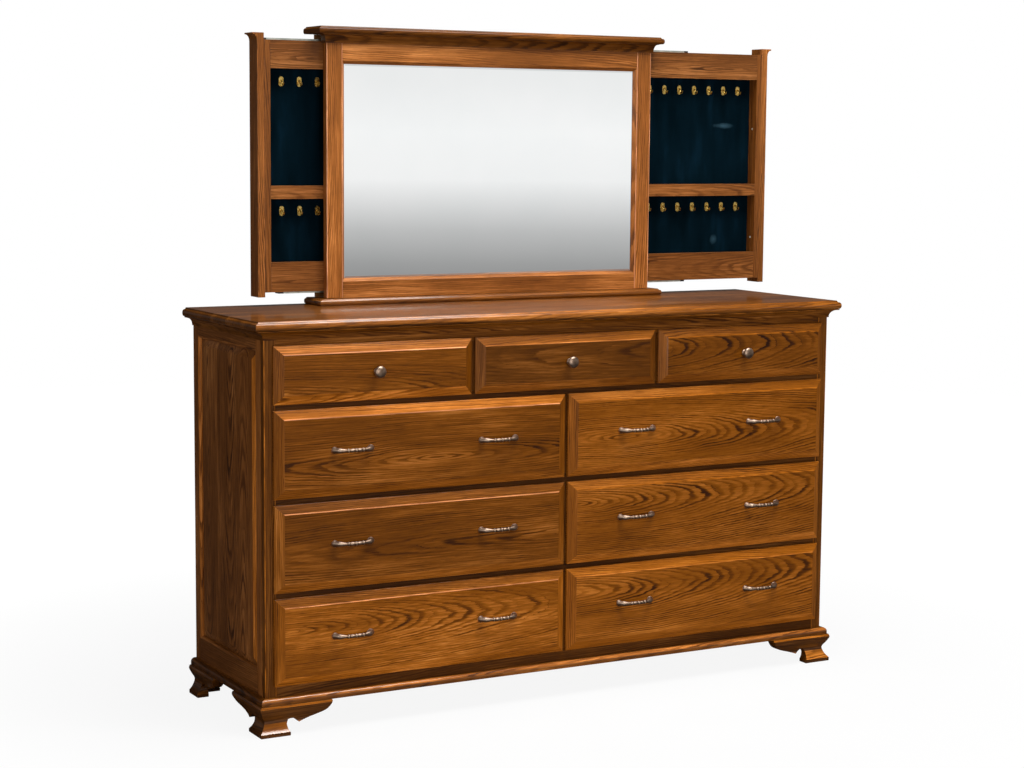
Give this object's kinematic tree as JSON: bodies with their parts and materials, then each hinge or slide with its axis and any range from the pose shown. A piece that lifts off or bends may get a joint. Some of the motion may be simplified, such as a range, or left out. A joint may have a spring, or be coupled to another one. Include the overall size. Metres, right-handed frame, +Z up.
{
  "type": "dresser with mirror",
  "caption": "Oak dresser with raised-front drawers and bracket feet, and a mirror unit whose shallow jewellery cases slide out from behind the mirror on both sides.",
  "frame": {"origin": "on the floor, under the centre of the whole object with its two jewellery cases drawn out as in the picture", "axes": "+X to the dresser's right as seen from the front, +Y from the front towards the wall, +Z up"},
  "size_m": [1.788, 0.5145, 1.7287],
  "materials": {
    "stained_oak": "brown stain under satin lacquer, open cathedral grain",
    "pale_maple": "clear-sealed drawer boxes and inner boards",
    "back_ply": "thin stained plywood",
    "aged_bronze": "aged bronze plating, rubbed bright on the high spots",
    "mirror_silver": "bevelled mirror glass",
    "zinc_steel": "zinc-plated slide members",
    "navy_velvet": "very dark navy velvet",
    "hook_brass": "bright brass hooks on the velvet boards"
  },
  "bodies": {
    "cabinet": {"top_board": "stained_oak", "bed_moulding": "stained_oak", "left_side": "stained_oak", "right_side": "stained_oak", "face_frame": "stained_oak", "back_panel": "back_ply", "carcase_interior": "pale_maple", "base_moulding": "stained_oak", "front_left_foot": "stained_oak", "front_right_foot": "stained_oak", "back_left_foot": "stained_oak", "back_right_foot": "stained_oak", "mirror_plinth": "stained_oak", "mirror_frame": "stained_oak", "mirror_glass": "mirror_silver", "mirror_back_panel": "back_ply", "mirror_cap": "stained_oak"},
    "lower_left_drawer": {"lower_left_drawer_front": "stained_oak", "lower_left_drawer_box": "pale_maple", "lower_left_left_pull": "aged_bronze", "lower_left_right_pull": "aged_bronze"},
    "lower_right_drawer": {"lower_right_drawer_front": "stained_oak", "lower_right_drawer_box": "pale_maple", "lower_right_left_pull": "aged_bronze", "lower_right_right_pull": "aged_bronze"},
    "middle_left_drawer": {"middle_left_drawer_front": "stained_oak", "middle_left_drawer_box": "pale_maple", "middle_left_left_pull": "aged_bronze", "middle_left_right_pull": "aged_bronze"},
    "middle_right_drawer": {"middle_right_drawer_front": "stained_oak", "middle_right_drawer_box": "pale_maple", "middle_right_left_pull": "aged_bronze", "middle_right_right_pull": "aged_bronze"},
    "upper_left_drawer": {"upper_left_drawer_front": "stained_oak", "upper_left_drawer_box": "pale_maple", "upper_left_left_pull": "aged_bronze", "upper_left_right_pull": "aged_bronze"},
    "upper_right_drawer": {"upper_right_drawer_front": "stained_oak", "upper_right_drawer_box": "pale_maple", "upper_right_left_pull": "aged_bronze", "upper_right_right_pull": "aged_bronze"},
    "top_left_drawer": {"top_left_drawer_front": "stained_oak", "top_left_drawer_box": "pale_maple", "top_left_knob": "aged_bronze"},
    "top_middle_drawer": {"top_middle_drawer_front": "stained_oak", "top_middle_drawer_box": "pale_maple", "top_middle_knob": "aged_bronze"},
    "top_right_drawer": {"top_right_drawer_front": "stained_oak", "top_right_drawer_box": "pale_maple", "top_right_knob": "aged_bronze"},
    "left_case_links": {"left_lower_slide_link": "zinc_steel", "left_upper_slide_link": "zinc_steel"},
    "left_case": {"left_case_frame": "stained_oak", "left_case_back": "navy_velvet", "left_case_post": "stained_oak"},
    "right_case_links": {"right_lower_slide_link": "zinc_steel", "right_upper_slide_link": "zinc_steel"},
    "right_case": {"right_case_frame": "stained_oak", "right_case_back": "navy_velvet", "right_case_post": "stained_oak"}
  },
  "joints": [
    {"name": "lower_left_drawer_slide", "type": "slide", "parent": "cabinet", "child": "lower_left_drawer", "axis": [0, -1, 0], "range_m": [0, 0.33]},
    {"name": "lower_right_drawer_slide", "type": "slide", "parent": "cabinet", "child": "lower_right_drawer", "axis": [0, -1, 0], "range_m": [0, 0.33]},
    {"name": "middle_left_drawer_slide", "type": "slide", "parent": "cabinet", "child": "middle_left_drawer", "axis": [0, -1, 0], "range_m": [0, 0.33]},
    {"name": "middle_right_drawer_slide", "type": "slide", "parent": "cabinet", "child": "middle_right_drawer", "axis": [0, -1, 0], "range_m": [0, 0.33]},
    {"name": "upper_left_drawer_slide", "type": "slide", "parent": "cabinet", "child": "upper_left_drawer", "axis": [0, -1, 0], "range_m": [0, 0.33]},
    {"name": "upper_right_drawer_slide", "type": "slide", "parent": "cabinet", "child": "upper_right_drawer", "axis": [0, -1, 0], "range_m": [0, 0.33]},
    {"name": "top_left_drawer_slide", "type": "slide", "parent": "cabinet", "child": "top_left_drawer", "axis": [0, -1, 0], "range_m": [0, 0.33]},
    {"name": "top_middle_drawer_slide", "type": "slide", "parent": "cabinet", "child": "top_middle_drawer", "axis": [0, -1, 0], "range_m": [0, 0.33]},
    {"name": "top_right_drawer_slide", "type": "slide", "parent": "cabinet", "child": "top_right_drawer", "axis": [0, -1, 0], "range_m": [0, 0.33]},
    {"name": "left_case_links_slide", "type": "slide", "parent": "cabinet", "child": "left_case_links", "axis": [-1, 0, 0], "range_m": [-0.162, 0.036]},
    {"name": "left_case_slide", "type": "slide", "parent": "left_case_links", "child": "left_case", "axis": [-1, 0, 0], "range_m": [0, 0.198]},
    {"name": "right_case_links_slide", "type": "slide", "parent": "cabinet", "child": "right_case_links", "axis": [1, 0, 0], "range_m": [-0.198, 0]},
    {"name": "right_case_slide", "type": "slide", "parent": "right_case_links", "child": "right_case", "axis": [1, 0, 0], "range_m": [-0.198, 0]}
  ]
}
